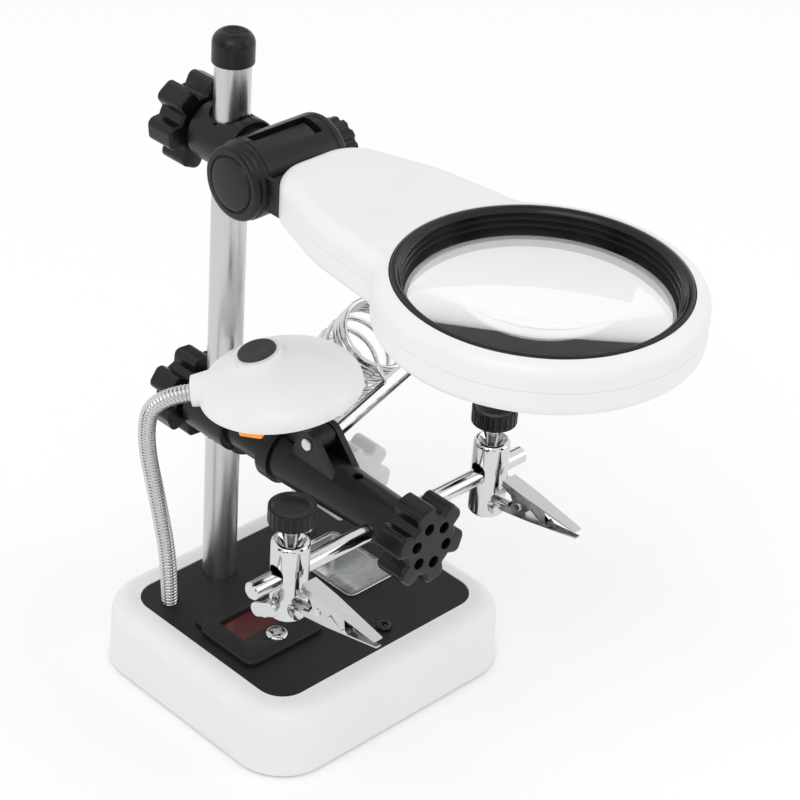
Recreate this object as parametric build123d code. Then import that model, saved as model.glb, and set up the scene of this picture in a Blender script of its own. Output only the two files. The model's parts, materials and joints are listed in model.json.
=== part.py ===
from build123d import *
import math
import os

# Bench-top helping hands: a weighted base with a column, a tilting magnifier head,
# a gooseneck lamp, a soldering-iron rest and a cross rod that carries two clips.
# +Z is up, -Y is the front, and the origin is the centre of the base on the bench.
# All sizes are in millimetres.

# --- base -------------------------------------------------------------------
base_length = 153.0            # along X
base_width = 134.0             # along Y
base_height = 35.0             # bench to deck
base_corner = 25.0
base_wall = 2.6
rim_radius = 9.0
foot_diameter = 14.0
foot_proud = 1.2               # feet stand out of the bottom cover
cover_thickness = 2.4
deck_length = 127.2
deck_width = 104.6
deck_corner = 13.0
deck_thickness = 2.0
deck_gap = 0.15                # deck plate to its recess
ledge_width = 5.0              # shelf that the deck plate rests on
ballast_thickness = 6.0

# --- tray, battery door -----------------------------------------------------
tray_x = (16.0, 42.5)
tray_y = (-13.5, 27.0)
tray_depth = 12.0
tray_wall = 0.8
tray_lip = 1.6
door_x = (-57.6, -11.6)
door_y = (-26.0, 11.0)
door_height = 2.6
window_x = (-48.0, -19.0)
window_y = (-10.0, 7.0)
window_gap = 0.1
door_screw_place = (-33.0, -16.2)
door_screw_diameter = 10.4
deck_screw_place = (10.7, -41.8)

# --- column -----------------------------------------------------------------
column_x = -18.6
column_y = 40.7
column_diameter = 16.0
column_wall = 1.4
column_top = 301.0
cap_diameter = 18.6
cap_height = 14.2
running_gap = 0.05             # radial gap of every piece that turns or slides
moving_gap = 0.35              # gap between faces that pass each other

# --- clamps on the column ---------------------------------------------------
clamp_radius = 13.6
clamp_length = 27.0            # along Y, centred on the column
bush_wall = 1.6
bush_height = 20.0
knob_radius = 20.0
knob_thickness = 15.0
knob_lobes = 6
knob_core = 14.5
lobe_width = 11.0
knob_screw_radius = 3.0
lower_clamp_z = 124.0
upper_clamp_z = 262.5

# --- lower arm --------------------------------------------------------------
rear_tube_radius = 10.6
collar_radius = 14.4
arm_pin_y = -23.5
arm_pin_height = 18.5          # pin above the arm's axis
arm_pin_radius = 2.0
arm_joint_y = -4.0             # where the rear tube's collar ends
front_arm_radius = 12.7
front_arm_tip_radius = 10.4
front_arm_end = -79.0
ear_width = 9.0
cheek_thickness = 3.2

# --- cross rod and clip carriages -------------------------------------------
rod_radius = 4.0
rod_y = -65.7
rod_drop = 4.0                 # rod axis below the arm's axis
rod_ends = (-95.7, 67.0)
sleeve_wall = 1.1
carriage_x = (-74.0, 46.5)
post_radius = 8.4
post_top_above_rod = 17.0
post_bottom_below_rod = 21.0
ball_radius = 4.5
ball_drop = 13.0               # ball centre below the rod axis
thumb_radius = 10.3
thumb_height = 7.6
thumb_gap = 9.5                # post top to knob underside
clip_length = 55.0
clip_rise = 8.0                # degrees that the clips point upward
clip_width = 8.0

# --- iron rest --------------------------------------------------------------
stem_x = 32.7
stem_y = 38.7
stem_radius = 6.4
stem_top = 88.0
rest_tilt = 52.4               # degrees of the wires above the level
rest_pivot_y = 31.5
rest_pivot_z = 86.7
wire_radius = 1.15
leg_spread = 10.4              # each leg from the centre plane
leg_length = 86.0
coil_radius = 17.0
coil_offset = 21.0             # coil axis from the legs' plane
coil_length = 62.0
coil_turns = 6

# --- gooseneck lamp ---------------------------------------------------------
gooseneck_radius = 4.0
gooseneck_points = (
    (-52.0, 36.8, 14.0),
    (-52.0, 36.8, 52.0),
    (-58.2, 38.4, 91.0),
    (-66.6, 39.4, 132.0),
    (-68.5, 29.8, 158.5),
    (-53.45, 14.2, 161.9),
)
lamp_centre = (-30.3, -9.8, 165.8)
lamp_radius = 36.0
lamp_height = 18.0
lamp_shoulder = 10.0           # radius of the bowl's shoulder
lamp_tilt = 9.0                # degrees, front rises
lamp_heading = -46.0           # direction from the neck to the bowl, about Z
lamp_wall = 2.0
button_radius = 8.6
button_back = 8.0              # button centre behind the bowl centre

# --- magnifier head ---------------------------------------------------------
hinge_y = 9.6
barrel_radius = 17.2
barrel_half = 19.5
cheek_outer = 25.0             # half width over both cheeks
hinge_bolt_radius = 4.0
lens_y = -140.5
lens_top_z = 276.7
bezel_radius = 59.2
bezel_width = 6.5
lens_radius = 54.0
head_radius = 65.5
head_height = 22.0
head_wall = 2.4
neck_half_rear = 22.0
neck_half_front = 41.0

CENTRE = Align.CENTER
LOW = Align.MIN
FROM_END = (CENTRE, CENTRE, LOW)
X_AXIS = (1, 0, 0)
Y_AXIS = (0, 1, 0)
Z_AXIS = (0, 0, 1)

# --- places worked out from the sizes above ---------------------------------
column_radius = column_diameter / 2
cover_top = foot_proud + cover_thickness
column_foot = cover_top + ballast_thickness
deck_underside = base_height - deck_thickness
top_wall_underside = deck_underside - base_wall
bush_outer = column_radius + running_gap + bush_wall
rod_z = lower_clamp_z - rod_drop
arm_pin_z = lower_clamp_z + arm_pin_height
sleeve_outer = rod_radius + running_gap + sleeve_wall
lens_centre = (column_x, lens_y)


def save(name, *solids):
    """Write one node's solids to its STEP file."""
    shape = solids[0] if len(solids) == 1 else Compound(children=list(solids))
    export_step(shape, f"parts/{name}.step")


def rod_along(start, axis, radius, length):
    """A cylinder that starts at a point and runs along an axis."""
    return Plane(origin=start, z_dir=axis) * Cylinder(radius, length, align=FROM_END)


def cone_along(start, axis, radius, end_radius, length):
    """A cone frustum that starts at a point and runs along an axis."""
    return Plane(origin=start, z_dir=axis) * Cone(radius, end_radius, length, align=FROM_END)


def block(x_range, y_range, z_range):
    """A box between two corners."""
    size = [high - low for low, high in (x_range, y_range, z_range)]
    return Pos(x_range[0], y_range[0], z_range[0]) * Box(*size, align=(LOW, LOW, LOW))


def rounded_slab(length, width, corner, low, high, centre=(0, 0), taper=0):
    """A slab with rounded upright corners."""
    outline = Pos(centre[0], centre[1], low) * RectangleRounded(length, width, corner)
    return extrude(outline, high - low, taper=taper)


def grown(pair, amount):
    """A range made longer at both ends."""
    return (pair[0] - amount, pair[1] + amount)


def middle(pair):
    return (pair[0] + pair[1]) / 2


def span(pair):
    return pair[1] - pair[0]


# --- base -------------------------------------------------------------------
base_draft = 2.0
boss_radius = 4.0
boss_x = base_length / 2 - 14.5
boss_y = base_width / 2 - 14.5
screw_core = 1.3
nut_height = 5.0
nut_wall = 2.2
nut_fit = 0.02
battery_length = 44.5
battery_radius = 5.25
battery_z = deck_underside - 6.2
battery_y = (-5.4, 5.4)
box_wall = 1.6
battery_box_x = grown((middle(door_x), middle(door_x)), battery_length / 2 + 0.3)
battery_box_y = grown(battery_y, battery_radius + 0.2)


def four_corners(x, y):
    return [(sx * x, sy * y) for sx in (-1, 1) for sy in (-1, 1)]


def base_shell():
    body = rounded_slab(base_length, base_width, base_corner, foot_proud, base_height, taper=base_draft)
    body = fillet(body.faces().sort_by(Axis.Z)[-1].edges(), rim_radius)
    inner = rounded_slab(base_length - 2 * base_wall, base_width - 2 * base_wall, base_corner - base_wall,
                         foot_proud, top_wall_underside, taper=base_draft)
    recess = rounded_slab(deck_length + 2 * deck_gap, deck_width + 2 * deck_gap, deck_corner + deck_gap,
                          deck_underside, base_height)
    opening = rounded_slab(deck_length - 2 * ledge_width, deck_width - 2 * ledge_width,
                           deck_corner - ledge_width, top_wall_underside, deck_underside)
    body = body - inner - recess - opening
    body -= rod_along((column_x, column_y, top_wall_underside - 1), Z_AXIS, column_radius + 0.3, 8)
    body -= block(grown(battery_box_x, box_wall + 0.3), grown(battery_box_y, box_wall + 0.3),
                  (top_wall_underside - 1, deck_underside))
    for x, y in four_corners(boss_x, boss_y):
        body += rod_along((x, y, cover_top), Z_AXIS, boss_radius, top_wall_underside - cover_top)
        body -= rod_along((x, y, cover_top), Z_AXIS, screw_core, 10)
    return body


def base_bottom_cover():
    gap = 0.2
    plate = rounded_slab(base_length - 2 * (base_wall + gap), base_width - 2 * (base_wall + gap),
                         base_corner - base_wall - gap, foot_proud, cover_top)
    for x, y in four_corners(boss_x, boss_y):
        plate -= rod_along((x, y, foot_proud), Z_AXIS, 1.7, cover_thickness)
        plate -= rod_along((x, y, foot_proud), Z_AXIS, 3.0, 1.4)
    plate -= rod_along((column_x, column_y, foot_proud), Z_AXIS, 6.2, cover_thickness)
    return plate


def cover_screw(x, y):
    screw = rod_along((x, y, foot_proud + 0.2), Z_AXIS, 2.8, 1.2)
    screw += rod_along((x, y, foot_proud + 1.0), Z_AXIS, screw_core - 0.05, 9.0)
    return screw


def deck_plate():
    plate = rounded_slab(deck_length, deck_width, deck_corner, deck_underside, base_height)
    plate = chamfer(plate.faces().sort_by(Axis.Z)[-1].edges(), 0.4)
    below = deck_underside - 1
    plate -= rod_along((column_x, column_y, below), Z_AXIS, column_radius + 0.1, 5)
    plate -= rod_along((gooseneck_points[0][0], gooseneck_points[0][1], below), Z_AXIS, gooseneck_radius + 0.1, 5)
    plate -= rod_along((stem_x, stem_y, below), Z_AXIS, stem_radius + 0.1, 5)
    plate -= rod_along((*deck_screw_place, below), Z_AXIS, 1.7, 5)
    plate -= block(grown(tray_x, tray_wall + 0.1), grown(tray_y, tray_wall + 0.1), (below, base_height + 1))
    plate -= block(grown(door_x, -2.5), grown(door_y, -2.5), (below, base_height + 1))
    return plate


def parts_tray():
    outer = block(grown(tray_x, tray_wall), grown(tray_y, tray_wall), (base_height - tray_depth, base_height))
    outer = fillet(outer.edges().filter_by(Axis.Z), 2.5)
    lip = block(grown(tray_x, tray_wall + tray_lip), grown(tray_y, tray_wall + tray_lip),
                (base_height, base_height + tray_wall))
    lip = fillet(lip.edges().filter_by(Axis.Z), 4.0)
    inner = block(tray_x, tray_y, (base_height - tray_depth + tray_wall, base_height + 2))
    inner = fillet(inner.edges().filter_by(Axis.Z), 2.5 - tray_wall)
    return outer + lip - inner


def battery_door():
    top = base_height + door_height
    length, width = span(door_x), span(door_y)
    centre = (middle(door_x), middle(door_y))
    door = rounded_slab(length, width, 5.0, base_height, top, centre)
    door += rounded_slab(7.0, 8.0, 1.5, base_height, base_height + 1.6, (door_x[0] + 6, door_y[1] + 1.0))
    door = chamfer(door.faces().sort_by(Axis.Z)[-1].edges(), 0.8)
    door += rounded_slab(length - 5.3, width - 5.3, 3.0, base_height - 1.4, base_height, centre)
    door -= block(window_x, window_y, (base_height - 2, top + 1))
    door += block(grown(window_x, 0.0), grown(window_y, 0.0), (base_height - 1.4, base_height - 0.6))
    door -= rod_along((*door_screw_place, base_height - 2), Z_AXIS, 1.7, 6)
    door -= rod_along((*door_screw_place, top - 0.7), Z_AXIS, door_screw_diameter / 2 + 0.15, 2)
    return door


def indicator_window():
    low = base_height - 0.6
    return block(grown(window_x, -window_gap), grown(window_y, -window_gap), (low, low + 1.4))


def cross_head_screw(place, face, head_radius, head_height_, core, depth):
    """A screw with a shallow domed head and a cross recess."""
    x, y = place
    head = rod_along((x, y, face), Z_AXIS, head_radius, head_height_)
    head = fillet(head.edges().sort_by(Axis.Z)[-1], head_height_ * 0.7)
    arm = head_radius * 1.1
    slot = head_height_ * 0.6
    for turn in (20, 110):
        cut = Pos(x, y, face + head_height_) * Rot(0, 0, turn) * Box(arm, head_radius * 0.22, 2 * slot)
        head -= cut
    return head + rod_along((x, y, face - depth), Z_AXIS, core, depth)


def battery_box():
    x_in, y_in = battery_box_x, battery_box_y
    floor = battery_z - battery_radius - 0.2
    box = block(grown(x_in, box_wall), grown(y_in, box_wall), (floor - box_wall, deck_underside))
    box -= block(x_in, y_in, (floor, deck_underside + 1))
    x, y = door_screw_place
    box += block((x - 4, x + 4), (y - 3.5, y_in[0] - box_wall), (deck_underside - 9, deck_underside))
    return box - rod_along((x, y, deck_underside - 8), Z_AXIS, 1.35, 9)


def battery_cell(y):
    x = middle(door_x) - battery_length / 2
    cell = rod_along((x, y, battery_z), X_AXIS, battery_radius, battery_length - 0.9)
    return cell + rod_along((x + battery_length - 0.9, y, battery_z), X_AXIS, 1.9, 0.9)


def panel_nut(x, y, bore_radius):
    """The thin nut under the deck that holds a stem or the gooseneck."""
    nut = Pos(x, y, deck_underside - nut_height) * extrude(RegularPolygon(bore_radius + nut_wall, 6), nut_height)
    return nut - rod_along((x, y, deck_underside - nut_height - 1), Z_AXIS, bore_radius + nut_fit, nut_height + 2)


def write_base():
    gooseneck_x, gooseneck_y, _ = gooseneck_points[0]
    save("panel_nuts", panel_nut(gooseneck_x, gooseneck_y, gooseneck_radius),
         panel_nut(stem_x, stem_y, stem_radius))
    save("base_shell", base_shell())
    save("base_bottom_cover", base_bottom_cover())
    feet_at = four_corners(base_length / 2 - 30, base_width / 2 - 16)
    save("rubber_feet", *[rod_along((x, y, 0), Z_AXIS, foot_diameter / 2, foot_proud) for x, y in feet_at])
    save("cover_screws", *[cover_screw(x, y) for x, y in four_corners(boss_x, boss_y)])
    ballast = rounded_slab(108, 96, 8, cover_top, column_foot)
    ballast -= rod_along((column_x, column_y, cover_top), Z_AXIS, 3.2, ballast_thickness)
    ballast -= rod_along((column_x, column_y, cover_top), Z_AXIS, 6.0, 1.4)
    save("ballast_plate", ballast)
    save("deck_plate", deck_plate())
    save("deck_screw", cross_head_screw(deck_screw_place, base_height, 3.6, 2.2, 1.6, 8))
    save("parts_tray", parts_tray())
    save("battery_door", battery_door())
    save("indicator_window", indicator_window())
    door_seat = base_height + door_height - 0.7
    save("door_screw", cross_head_screw(door_screw_place, door_seat, door_screw_diameter / 2, 1.9, 1.3, 9))
    save("battery_box", battery_box())
    save("battery_cells", *[battery_cell(y) for y in battery_y])


# --- column -----------------------------------------------------------------
def column_cap():
    outer_radius = cap_diameter / 2
    cap = rod_along((column_x, column_y, column_top - 2), Z_AXIS, outer_radius, cap_height)
    cap = fillet(cap.edges().sort_by(Axis.Z)[-1], outer_radius * 0.62)
    cap -= rod_along((column_x, column_y, column_top - 2), Z_AXIS, column_radius + 0.02, 2)
    cap += rod_along((column_x, column_y, column_top - 9), Z_AXIS, column_radius - column_wall - 0.02, 9)
    crown = column_top - 2 + cap_height
    ring = Pos(column_x, column_y, crown - 0.5) * (Cylinder(3.4, 1.4) - Cylinder(2.5, 1.4))
    return cap + ring


def write_column():
    tube = rod_along((column_x, column_y, column_foot), Z_AXIS, column_radius, column_top - column_foot)
    tube -= rod_along((column_x, column_y, column_foot), Z_AXIS, column_radius - column_wall, column_top)
    save("column_tube", tube)
    save("column_cap", column_cap())
    plug_radius = column_radius - column_wall - 0.02
    plug = rod_along((column_x, column_y, column_foot), Z_AXIS, plug_radius, 22)
    plug -= rod_along((column_x, column_y, column_foot), Z_AXIS, 3.0, 16)
    save("column_plug", plug)
    bolt = rod_along((column_x, column_y, foot_proud + 0.4), Z_AXIS, 5.6, cover_top + 1.4 - foot_proud - 0.4)
    bolt -= Pos(column_x, column_y, foot_proud + 0.4) * extrude(RegularPolygon(2.5, 6), 2.2)
    bolt += rod_along((column_x, column_y, cover_top + 1.4), Z_AXIS, 2.95, 18)
    save("column_bolt", bolt)


# --- clamps on the column ---------------------------------------------------
knob_neck = 2.4
knob_neck_radius = 9.0
clamp_rear = column_y + clamp_length / 2
clamp_front = column_y - clamp_length / 2


def lobed_knob(face, axis, turn, thickness=knob_thickness):
    """A six-lobed hand knob; the face point is the centre of its mounting side."""
    core = Cylinder(knob_core, thickness, align=FROM_END)
    for i in range(knob_lobes):
        lobe = Pos((knob_core + knob_radius) / 2 - 3, 0, 0) * Box(
            knob_radius - knob_core + 6, lobe_width, thickness, align=FROM_END)
        lobe = fillet(lobe.edges().filter_by(Axis.Z), lobe_width * 0.3)
        core += Rot(0, 0, turn + i * 360 / knob_lobes) * lobe
    top = core.faces().filter_by(Axis.Z)[-1]
    core = chamfer(top.outer_wire().edges(), 1.0)
    return Plane(origin=face, z_dir=axis) * core


def column_bush(z):
    """The split plastic bush between a clamp and the column."""
    low = z - bush_height / 2
    bush = rod_along((column_x, column_y, low), Z_AXIS, bush_outer, bush_height)
    bush -= rod_along((column_x, column_y, low), Z_AXIS, column_radius + running_gap, bush_height)
    return bush - block((column_x - 20, column_x), (column_y - 0.8, column_y + 0.8), (low, low + bush_height))


def clamp_boss(z):
    boss = rod_along((column_x, clamp_front, z), Y_AXIS, clamp_radius, clamp_length)
    return fillet(boss.edges().filter_by(GeomType.CIRCLE), 1.2)


def bored_for_column(body, z):
    """Open the bush bore and the screw hole in a clamp."""
    body -= rod_along((column_x, column_y, z - 20), Z_AXIS, bush_outer + running_gap, 40)
    return body - rod_along((column_x, column_y, z), Y_AXIS, knob_screw_radius + running_gap, 30)


def clamp_knob(z, turn):
    start = clamp_rear + moving_gap
    knob = lobed_knob((column_x, start + knob_neck, z), Y_AXIS, turn)
    knob += rod_along((column_x, start, z), Y_AXIS, knob_neck_radius, knob_neck)
    screw_start = column_y + bush_outer + 0.15
    return knob + rod_along((column_x, screw_start, z), Y_AXIS, knob_screw_radius, start + 4 - screw_start)


# --- lower arm --------------------------------------------------------------
ear_radius = 5.2
collar_length = 7.0
arm_rear = arm_joint_y - moving_gap
arm_pin_at = (arm_pin_y, arm_pin_z)


def side_plate(centre_x, thickness, circles):
    """A plate across X that wraps a chain of (y, z, radius) circles."""
    wires = [Pos(y, z) * Circle(r) for y, z, r in circles]
    outline = make_hull([edge for wire in wires for edge in wire.edges()])
    plane = Plane(origin=(centre_x - thickness / 2, 0, 0), x_dir=Y_AXIS, z_dir=X_AXIS)
    return extrude(plane * outline, thickness)


def lower_clamp_body():
    z = lower_clamp_z
    body = clamp_boss(z)
    body += rod_along((column_x, arm_joint_y + 2, z), Y_AXIS, rear_tube_radius, column_y - arm_joint_y - 2)
    body += rod_along((column_x, arm_joint_y, z), Y_AXIS, collar_radius, collar_length)
    body += rod_along((column_x, 27.0, z - rear_tube_radius - 2.2), Z_AXIS, 5.6, rear_tube_radius)
    ear = side_plate(column_x, ear_width, [(arm_pin_y, arm_pin_z, ear_radius),
                                           (arm_joint_y + 1, arm_pin_z - 1.0, ear_radius + 1)])
    body += ear
    body -= rod_along((column_x - 10, *arm_pin_at), X_AXIS, arm_pin_radius + running_gap, 20)
    return bored_for_column(body, z)


def arm_radius_at(y):
    share = (y - arm_rear) / (front_arm_end - arm_rear)
    return front_arm_radius + share * (front_arm_tip_radius - front_arm_radius)


plunger_radius = 5.6
plunger_travel = 0.5
plunger_rear = rod_y - sleeve_outer - plunger_travel - 0.1
plunger_front = plunger_rear - 5.5
front_screw_end = plunger_front - 0.1


def front_arm():
    z = lower_clamp_z
    length = arm_rear - front_arm_end
    body = cone_along((column_x, arm_rear, z), (0, -1, 0), front_arm_radius, front_arm_tip_radius, length)
    bore = cone_along((column_x, arm_rear, z), (0, -1, 0), 9.6, 7.0, 48.0)
    body -= bore
    offset = (ear_width + cheek_thickness) / 2 + moving_gap
    for side in (-1, 1):
        cheek = side_plate(column_x + side * offset, cheek_thickness,
                           [(arm_pin_y, arm_pin_z, ear_radius + 0.6),
                            (arm_pin_y + 9, z + 8.0, 2.0), (arm_pin_y - 15, z + 8.0, 2.0)])
        body += cheek
    body -= rod_along((column_x - 20, *arm_pin_at), X_AXIS, arm_pin_radius, 40)
    slot = side_plate(column_x, ear_width + 2 * moving_gap,
                      [(arm_pin_y, arm_pin_z, ear_radius + 0.9), (arm_rear + 8, arm_pin_z + 2, ear_radius + 5.5)])
    body -= slot
    body -= rod_along((column_x - 20, rod_y, rod_z), X_AXIS, sleeve_outer + running_gap, 40)
    body -= rod_along((column_x, rod_y, z), (0, -1, 0), plunger_radius + running_gap, rod_y - front_screw_end)
    body -= rod_along((column_x, rod_y, z), (0, -1, 0), knob_screw_radius + running_gap, 20)
    return body - rod_along((column_x, -48, z), Z_AXIS, 2.3, 20)


def arm_pin():
    half = ear_width / 2 + moving_gap + cheek_thickness
    pin = rod_along((column_x - half, *arm_pin_at), X_AXIS, arm_pin_radius, 2 * half)
    for side in (-1, 1):
        head = rod_along((column_x + side * half, *arm_pin_at), (side, 0, 0), 3.0, 1.2)
        pin += fillet(head.edges().sort_by(Axis.X)[0 if side < 0 else -1], 0.8)
    return pin


def front_knob():
    z = lower_clamp_z
    start = front_arm_end - moving_gap
    knob = lobed_knob((column_x, start, z), (0, -1, 0), 12)
    face_y = start - knob_thickness
    for i in range(knob_lobes):
        angle = math.radians(i * 60 + 42)
        x = column_x + 9.4 * math.cos(angle)
        knob -= rod_along((x, face_y, z + 9.4 * math.sin(angle)), Y_AXIS, 2.7, 9.0)
    return knob + rod_along((column_x, front_screw_end, z), (0, -1, 0), knob_screw_radius, front_screw_end - start + 4)


def rod_plunger():
    length = plunger_rear + 4 - plunger_front
    plunger = rod_along((column_x, plunger_front, lower_clamp_z), Y_AXIS, plunger_radius, length)
    seat_radius = sleeve_outer + plunger_travel + 0.1
    return plunger - rod_along((column_x - 10, rod_y, rod_z), X_AXIS, seat_radius, 20)


def rod_sleeve():
    half = arm_radius_at(rod_y) - 0.4
    sleeve = rod_along((column_x - half, rod_y, rod_z), X_AXIS, sleeve_outer, 2 * half)
    return sleeve - rod_along((column_x - half, rod_y, rod_z), X_AXIS, rod_radius + running_gap, 2 * half)


def cross_rod():
    rod = rod_along((rod_ends[0], rod_y, rod_z), X_AXIS, rod_radius, span(rod_ends))
    return chamfer(rod.edges().filter_by(GeomType.CIRCLE), 0.6)


def write_lower_arm():
    save("lower_clamp_bush", column_bush(lower_clamp_z))
    save("lower_clamp_body", lower_clamp_body())
    save("lower_clamp_knob", clamp_knob(lower_clamp_z, 5))
    save("arm_pin", arm_pin())
    save("front_arm", front_arm())
    save("front_knob", front_knob())
    save("rod_plunger", rod_plunger())
    save("rod_sleeve", rod_sleeve())
    save("cross_rod", cross_rod())


# --- clip carriages on the cross rod ----------------------------------------
post_top = rod_z + post_top_above_rod
post_bottom = rod_z - post_bottom_below_rod
ball_z = rod_z - ball_drop
thumb_face = post_top + thumb_gap
thumb_screw_radius = 2.5
wing_screw_radius = 1.9
wing_gap = 2.6
wing_reach = 4.4
wing_rise = 2.4
wing_tip = 3.2
wing_root = 2.6
wing_thickness = 2.0
wing_hub = 3.4
ball_mouth = (3.4, 8.0)        # radii of the socket mouth, inside and at the face
mouth_start = 1.5
mouth_depth = 8.0
stem_pin_radius = 1.9
jaw_rear = 11.0                # the sheet metal starts clear of the post
rivet_at = (23.0, 3.6)         # along the clip and above its centre line
jaw_gap = 0.3
sheet = 0.7


def clip_post(x):
    post = rod_along((x, rod_y, post_bottom), Z_AXIS, post_radius, post_top - post_bottom)
    post = fillet(post.edges().filter_by(GeomType.CIRCLE), 2.0)
    slot_radius = rod_radius + running_gap
    post -= rod_along((x - 12, rod_y, rod_z), X_AXIS, slot_radius, 24)
    post -= rod_along((x - 12, rod_y, rod_z + 3.0), X_AXIS, slot_radius, 24)
    post -= block((x - 12, x + 12), (rod_y - slot_radius, rod_y + slot_radius), (rod_z, rod_z + 3.0))
    post -= rod_along((x, rod_y, rod_z), Z_AXIS, thumb_screw_radius + running_gap, 20)
    post -= cone_along((x, rod_y, post_top - 5.0), Z_AXIS, 3.4, 6.4, 5.01)
    post -= Pos(x, rod_y, ball_z) * Sphere(ball_radius + running_gap)
    post -= cone_along((x, rod_y - mouth_start, ball_z), (0, -1, 0), *ball_mouth, mouth_depth)
    side = 1 if x > column_x else -1
    return post - rod_along((x, rod_y, ball_z), (side, 0, 0), wing_screw_radius + running_gap, 12)


def thumb_screw(x):
    knob = rod_along((x, rod_y, thumb_face), Z_AXIS, thumb_radius, thumb_height)
    knob = fillet(knob.edges().sort_by(Axis.Z)[-1], 1.6)
    for i in range(24):
        angle = math.radians(i * 15)
        place = (x + thumb_radius * math.cos(angle), rod_y + thumb_radius * math.sin(angle), thumb_face)
        knob -= rod_along(place, Z_AXIS, 0.55, thumb_height - 1.7)
    knob -= Pos(x, rod_y, thumb_face + thumb_height + 10.4) * Sphere(11.0)
    end = rod_z + rod_radius + 0.1
    return knob + rod_along((x, rod_y, end), Z_AXIS, thumb_screw_radius, thumb_face + 3 - end)


def wing_screw(x):
    side = 1 if x > column_x else -1
    start = ball_radius + running_gap + 0.1
    screw = rod_along((x + side * start, rod_y, ball_z), (side, 0, 0), wing_screw_radius,
                      post_radius + wing_gap + 3 - start)
    hub = rod_along((x + side * (post_radius + wing_gap - 1.5), rod_y, ball_z), (side, 0, 0), wing_hub, 5.0)
    tips = [(rod_y + turn * wing_reach, ball_z - turn * wing_rise, wing_tip) for turn in (-1, 1)]
    wing = side_plate(x + side * (post_radius + wing_gap + 2.5), wing_thickness,
                      [*tips, (rod_y, ball_z, wing_root)])
    return screw + hub + fillet(wing.edges().filter_by(GeomType.CIRCLE), 0.5)


def clip_plane(x):
    """Local frame of a clip: X runs to its tip, Y is sideways, Z is up."""
    rise = math.radians(clip_rise)
    tip = (0, -math.cos(rise), math.sin(rise))
    return Plane(origin=(x, rod_y, ball_z), x_dir=tip, z_dir=(0, math.sin(rise), math.cos(rise)))


def channel(points, width, opening_up):
    """A jaw pressed from sheet: an outline seen from the side, hollow between its two walls."""
    across = Plane(origin=(0, width / 2, 0), x_dir=X_AXIS, z_dir=(0, -1, 0))
    solid = extrude(across * make_face(Polyline(*points, close=True)), width)
    shift = sheet if opening_up else -sheet
    lift = 20 if opening_up else -20
    inner = [(px, pz + shift) for px, pz in points[:2]] + [(px, pz + lift) for px, pz in reversed(points[:2])]
    inner_plane = Plane(origin=(0, width / 2 - sheet, 0), x_dir=X_AXIS, z_dir=(0, -1, 0))
    return solid - extrude(inner_plane * make_face(Polyline(*inner, close=True)), width - 2 * sheet)


def tapered(solid, width, tip_width):
    """Narrow a jaw evenly towards its tip."""
    start = 27.0
    slope = math.degrees(math.atan((width - tip_width) / 2 / (clip_length - start)))
    for side in (-1, 1):
        wedge = Pos(start, side * (width / 2), 0) * Rot(0, 0, -side * slope) * Pos(20, side * 10, 0) * Box(60, 20, 60)
        wedge = wedge - Pos(start - 50, 0, 0) * Box(100, 60, 80)
        solid -= wedge
    return solid


def teeth(low, high, z, count, pointing):
    """A row of small wedge teeth along a jaw's edge."""
    pitch = (high - low) / count
    points = [(low, z - pointing * 0.3)]
    for i in range(count):
        points += [(low + (i + 0.5) * pitch, z + pointing * 0.9), (low + (i + 1) * pitch, z - pointing * 0.3)]
    return points


lower_jaw_width = clip_width - 2 * (sheet + jaw_gap)


def clip_lower_jaw(x):
    tip = clip_length
    points = [(jaw_rear, -3.0), (tip, -1.6), (tip, 0.0)] + teeth(34.0, tip - 0.4, 0.0, 7, -1)[::-1]
    points += [(28.5, 4.4), (24.5, 5.9), (20.0, 5.2), (16.0, 0.2), (jaw_rear, -0.4)]
    jaw = tapered(channel(points, lower_jaw_width, True), lower_jaw_width, 2.6)
    jaw += rod_along((ball_radius - 1.0, 0, -0.6), X_AXIS, stem_pin_radius, jaw_rear)
    jaw -= Sphere(ball_radius + running_gap)
    jaw -= rod_along((rivet_at[0], -10, rivet_at[1]), Y_AXIS, 1.0, 20)
    return clip_plane(x) * jaw


def clip_upper_jaw(x):
    tip = clip_length
    points = [(tip, 2.3), (14.0, 13.6), (13.2, 10.6), (18.5, 7.6), (20.5, 2.6), (27.0, 2.0), (31.0, 5.6)]
    points += [(px, pz) for px, pz in teeth(35.0, tip - 0.4, 1.1, 7, -1)] + [(tip, 0.9)]
    jaw = tapered(channel(points, clip_width, False), clip_width, 4.6)
    jaw -= rod_along((rivet_at[0], -10, rivet_at[1]), Y_AXIS, 1.0 + running_gap, 20)
    return clip_plane(x) * jaw


def clip_rivet(x):
    half = clip_width / 2
    rivet = rod_along((rivet_at[0], -half, rivet_at[1]), Y_AXIS, 1.0, clip_width)
    for side in (-1, 1):
        rivet += rod_along((rivet_at[0], side * half, rivet_at[1]), (0, side, 0), 1.7, 0.6)
    return clip_plane(x) * rivet


def write_carriages():
    for side, x in zip(("left", "right"), carriage_x):
        save(f"clip_post_{side}", clip_post(x))
        save(f"thumb_screw_{side}", thumb_screw(x))
        save(f"wing_screw_{side}", wing_screw(x))
        save(f"clip_ball_{side}", Pos(x, rod_y, ball_z) * Sphere(ball_radius))
        save(f"clip_lower_jaw_{side}", clip_lower_jaw(x))
        save(f"clip_upper_jaw_{side}", clip_upper_jaw(x))
        save(f"clip_rivet_{side}", clip_rivet(x))


# --- iron rest --------------------------------------------------------------
rest_z = 83.0
rest_radius = 9.6
rest_y = (19.0, 49.0)
rest_knob_neck = 3.0
tilt = math.radians(rest_tilt)
leg_axis = (0, -math.cos(tilt), math.sin(tilt))
coil_side = (0, math.sin(tilt), math.cos(tilt))
coil_pitch = coil_length / coil_turns
mouth_turns = 4
mouth_pitch = 2 * wire_radius + 0.5


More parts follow.
